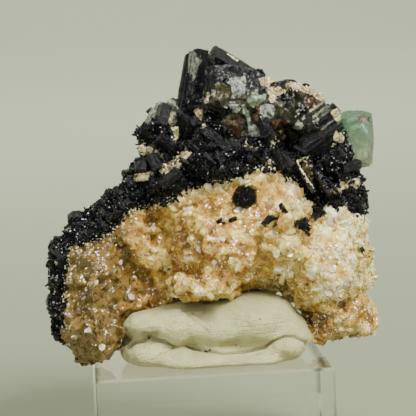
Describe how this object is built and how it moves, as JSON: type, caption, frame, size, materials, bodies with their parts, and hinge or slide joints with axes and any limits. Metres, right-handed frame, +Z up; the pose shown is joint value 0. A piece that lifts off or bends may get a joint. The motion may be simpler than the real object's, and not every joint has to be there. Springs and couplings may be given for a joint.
{
  "type": "mineral specimen on a display block",
  "caption": "Green phantom fluorite with black schorl prisms on golden muscovite, pressed into putty on a clear acrylic display block.",
  "frame": {"origin": "centre of the acrylic block's underside", "axes": "+Z up; -Y towards the viewer, the side that shows the green fluorite at the right; +X to the viewer's right"},
  "size_m": [0.0731, 0.0508, 0.0927],
  "materials": {
    "clear_acrylic": "polished clear",
    "putty": "matte, hand-pressed",
    "muscovite": "pearly plates",
    "schorl": "glossy, striated",
    "green_fluorite": "clear with zones of colour",
    "dark_fluorite": "frosted over a clear core",
    "grey_fluorite": "frosted"
  },
  "bodies": {
    "root": {"acrylic_block": "clear_acrylic", "putty": "putty", "muscovite_matrix": "muscovite", "schorl_crust": "schorl", "schorl_rosette": "schorl", "schorl_tuft_right": "schorl", "schorl_tuft_upper": "schorl", "fluorite_green": "green_fluorite", "fluorite_centre": "dark_fluorite", "fluorite_grey": "grey_fluorite"}
  },
  "joints": []
}
